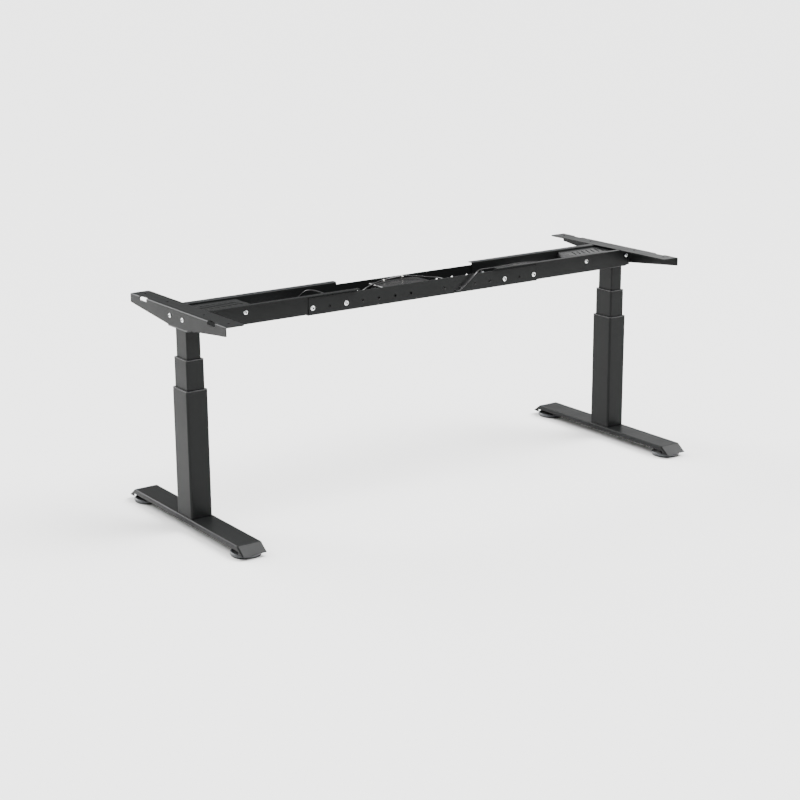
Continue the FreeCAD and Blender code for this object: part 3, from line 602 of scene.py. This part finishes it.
# %% Crossbar bolts, rail screws and bracket screws
SPIN_SPREAD = math.radians(60)
BOLT_SETS = {"crossbar_bolts": dict(head=7.5 * MM, height=5 * MM, shank=4 * MM, length=13 * MM, axis=1),
             "end_rail_screws": dict(head=6.5 * MM, height=4 * MM, shank=3 * MM, length=7 * MM, axis=1),
             "side_bracket_screws": dict(head=6.5 * MM, height=4 * MM, shank=3 * MM, length=15 * MM, axis=0),
             "foot_bolts": dict(head=7 * MM, height=4 * MM, shank=4 * MM, length=10 * MM, axis=2, upward=-1)}
for number, (node, facts) in enumerate(BOLT_SETS.items()):
    places = bolt_places(node, facts["axis"], facts["height"], facts.get("upward"))
    template_mesh = bolt_head(node + "_template", facts["head"], facts["height"], facts["shank"],
                              facts["length"])
    template = bpy.data.objects.new(node + "_template", template_mesh)
    bpy.context.scene.collection.objects.link(template)
    cloud = point_cloud(node + "_points", places)
    done = run_tree(SET_BOLTS, cloud, node + "_set", Head=template, Spin_Spread=SPIN_SPREAD, Seed=number,
                    Finish=zinc, Socket_Finish=socket_painted_shade)
    bpy.data.objects.remove(template)
    placed(node + "_set", done, None, BODY_OF[node], SLOT_OF[node], node)
    print(node, len(places), "bolts,", len(done.polygons), "faces")

# %% [markdown]
# ## Levelling pads
# Each foot stands on two wide round pads, a hard plastic disc on a rubber sole. The disc is a
# turned shape: a flat rim, a shallow dished top and a hub that takes the threaded stud. A ring
# of small grip ribs round the rim lets a thumb turn it, so the ribs repeat with the same kind
# of tree: points on a circle, one rib on each.

# %% The disc, hub and sole as turned profiles, and the rib tree
def turned_solid(name, profile, centre, count):
    """A closed solid turned round an upright axis through centre, from (radius, height) points."""
    mesh = bmesh.new()
    rings = []
    for reach, rise in profile:
        rings.append([mesh.verts.new((centre[0] + reach * math.cos(2 * math.pi * i / count),
                                      centre[1] + reach * math.sin(2 * math.pi * i / count), rise))
                      for i in range(count)])
    for lower, upper in zip(rings, rings[1:]):
        for i in range(count):
            j = (i + 1) % count
            mesh.faces.new((lower[i], lower[j], upper[j], upper[i]))
    mesh.faces.new(list(reversed(rings[0])))
    mesh.faces.new(rings[-1])
    bmesh.ops.recalc_face_normals(mesh, faces=mesh.faces)
    data = bpy.data.meshes.new(name)
    mesh.to_mesh(data)
    mesh.free()
    for face in data.polygons:
        face.use_smooth = len(face.vertices) == 4
    return data


def rib_tree():
    """Ribs on a circle of points, each turned to face outwards."""
    tree = bpy.data.node_groups.new("grip ribs", "GeometryNodeTree")
    for name, kind in [("Blank", "NodeSocketGeometry"), ("Count", "NodeSocketInt"),
                       ("Radius", "NodeSocketFloat"), ("Centre", "NodeSocketVector"),
                       ("Rib Size", "NodeSocketVector"), ("Finish", "NodeSocketMaterial")]:
        tree.interface.new_socket(name=name, in_out="INPUT", socket_type=kind)
    tree.interface.new_socket(name="Ribs", in_out="OUTPUT", socket_type="NodeSocketGeometry")
    given = tree.nodes.new("NodeGroupInput").outputs
    circle = add(tree, "GeometryNodeMeshCircle", {"Vertices": given["Count"], "Radius": given["Radius"]})
    rib = add(tree, "GeometryNodeMeshIcoSphere", {"Radius": 0.5, "Subdivisions": 2})
    shape = add(tree, "GeometryNodeTransform", {"Geometry": rib.outputs["Mesh"], "Scale": given["Rib Size"]})
    spot = tree.nodes.new("GeometryNodeInputPosition")
    aim = add(tree, "FunctionNodeAlignRotationToVector", {"Vector": spot.outputs["Position"]}, axis="X",
              pivot_axis="Z")
    stand = add(tree, "GeometryNodeInstanceOnPoints", {"Points": circle.outputs["Mesh"],
                                                       "Instance": shape.outputs["Geometry"],
                                                       "Rotation": aim.outputs[0]})
    moved = add(tree, "GeometryNodeTransform", {"Geometry": stand.outputs["Instances"],
                                                "Translation": given["Centre"]})
    real = add(tree, "GeometryNodeRealizeInstances", {"Geometry": moved.outputs["Geometry"]})
    finish = add(tree, "GeometryNodeSetMaterial", {"Geometry": real.outputs["Geometry"],
                                                   "Material": given["Finish"]})
    out = tree.nodes.new("NodeGroupOutput")
    tree.links.new(finish.outputs["Geometry"], out.inputs["Ribs"])
    return tree


GRIP_RIBS = rib_tree()
print("tree:", GRIP_RIBS.name, len(GRIP_RIBS.nodes), "nodes")

# %% Four pads
SOLE = 4 * MM
DISC_TOP = 12 * MM
HUB = 10 * MM
STUD = 5 * MM
HUB_DROP = 13.6 * MM     # from the stud's top down to the hub's
DISC_SIDES = 96
STUD_SIDES = 32
RIB_COUNT = 60
RIB_SIZE = (1.7 * MM, 2.0 * MM, 5.5 * MM)
PAD_NODES = [node for node in frame["nodes"] if node.endswith("_pad")]
for node in PAD_NODES:
    low, high = (Vector(corner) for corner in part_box(node))
    centre = (low + high) / 2
    rim = (high.x - low.x) / 2
    hub_top = high.z - HUB_DROP
    sole = [(rim - 14 * MM, 0), (rim - 3.2 * MM, 0), (rim - 2.4 * MM, 0.3 * MM), (rim - 2 * MM, 1 * MM),
            (rim - 2 * MM, SOLE)]
    disc = [(rim - 2 * MM, SOLE), (rim - 0.8 * MM, SOLE), (rim - 0.3 * MM, SOLE + 0.4 * MM),
            (rim - 0.3 * MM, DISC_TOP - 3 * MM), (rim - 1 * MM, DISC_TOP - 1 * MM),
            (rim - 2.6 * MM, DISC_TOP), (rim - 7 * MM, DISC_TOP),
            (rim - 9 * MM, DISC_TOP - 1.4 * MM), (HUB + 9 * MM, DISC_TOP - 1.4 * MM),
            (HUB + 5 * MM, DISC_TOP), (HUB + 1.5 * MM, hub_top - 0.6 * MM), (HUB, hub_top), (STUD, hub_top)]
    stud = [(STUD, DISC_TOP), (STUD, high.z - 0.7 * MM), (STUD - 0.7 * MM, high.z)]
    body = BODY_OF[node]
    for part, profile, count, finish, slot in (("_sole", sole, DISC_SIDES, pad_rubber, "pad_rubber"),
                                               ("_disc", disc, DISC_SIDES, pad_plastic, "pad_rubber"),
                                               ("_stud", stud, STUD_SIDES, zinc, "zinc_steel")):
        placed(node + part, turned_solid(node + part, profile, centre, count), finish, body, slot, node)
    blank = bpy.data.objects.new(node + "_ribs_blank", bpy.data.meshes.new(node + "_ribs_blank"))
    bpy.context.scene.collection.objects.link(blank)
    ribs = run_tree(GRIP_RIBS, blank, node + "_ribs", Count=RIB_COUNT, Radius=rim - 0.9 * MM,
                    Centre=(centre.x, centre.y, (SOLE + DISC_TOP) / 2), Rib_Size=RIB_SIZE,
                    Finish=pad_plastic)
    placed(node + "_ribs", ribs, None, body, "pad_rubber", node)
    print(node, "radius", round(rim / MM, 1), "mm,", RIB_COUNT, "ribs")

# %% [markdown]
# ## The motor leads
# Each motor has a thin round lead to the control box. The left one drops to the rear rail,
# crosses over, and lies in two loose loops on top of the box. The right one climbs over the
# front rail, runs down its face and goes in through a small window. A lead takes smooth
# curves because its sheath is stiff, so each one is a NURBS curve with the model's own route
# points as its control points: they pull it along without kinking it.

# %% Two leads
LEAD_RADIUS = 2.5 * MM
LEAD_ROUTES = {          # in millimetres, from the motor to the plug
    "left_motor_lead":
    [(-624, 27.3, 628), (-590, 27.3, 628), (-552, 34, 617), (-505, 42, 611), (-455, 46, 613),
     (-420, 48, 624), (-398, 48, 641), (-384, 40, 653), (-374, 18, 657), (-362, -8, 654),
     (-346, -34, 643), (-316, -47, 629), (-280, -47, 626), (-246, -38, 636), (-210, -22, 648),
     (-168, -2, 652), (-128, 20, 653.5), (-88, 33, 654), (-46, 41, 655), (-12, 36, 655.5), (10, 12, 655),
     (26, -16, 654.5), (54, -36, 653), (90, -46, 642), (126, -40, 632), (148, -16, 626), (138, 8, 622.5),
     (106, 12, 622), (47, 12, 622)],
    "right_motor_lead":
    [(624, 27.3, 628), (590, 27.3, 628), (546, 31, 633), (498, 28, 640), (452, 19, 646), (404, 8, 649),
     (356, -4, 650), (300, -16, 652), (246, -34, 656.5), (206, -53, 661.5), (178, -71, 654),
     (128, -69.5, 616), (118, -66, 609), (110, -57, 607), (105, -45, 608.5), (98, -34, 613),
     (88, -26, 619), (74, -22, 622), (47, -22, 622)],
}


def held_lead(node, route):
    """A round lead along the route, given in millimetres, as a plain mesh."""
    curve = bpy.data.curves.new(node + "_curve", "CURVE")
    curve.dimensions = "3D"
    curve.bevel_depth = LEAD_RADIUS
    curve.bevel_resolution = 6
    curve.resolution_u = 10
    curve.use_fill_caps = True
    spline = curve.splines.new("NURBS")
    spline.points.add(len(route) - 1)
    for point, place in zip(spline.points, route):
        point.co = (*(Vector(place) * MM), 1)
    spline.order_u = 3
    spline.use_endpoint_u = True
    source = bpy.data.objects.new(node + "_curve", curve)
    bpy.context.scene.collection.objects.link(source)
    return evaluated(source, node + "_sheath")


for node, route in LEAD_ROUTES.items():
    tube = held_lead(node, route)
    for face in tube.polygons:
        face.use_smooth = True
    placed(node + "_sheath", tube, sheath, BODY_OF[node], SLOT_OF[node], node)
    print(node, len(tube.polygons), "faces,", len(route), "route points")

import json
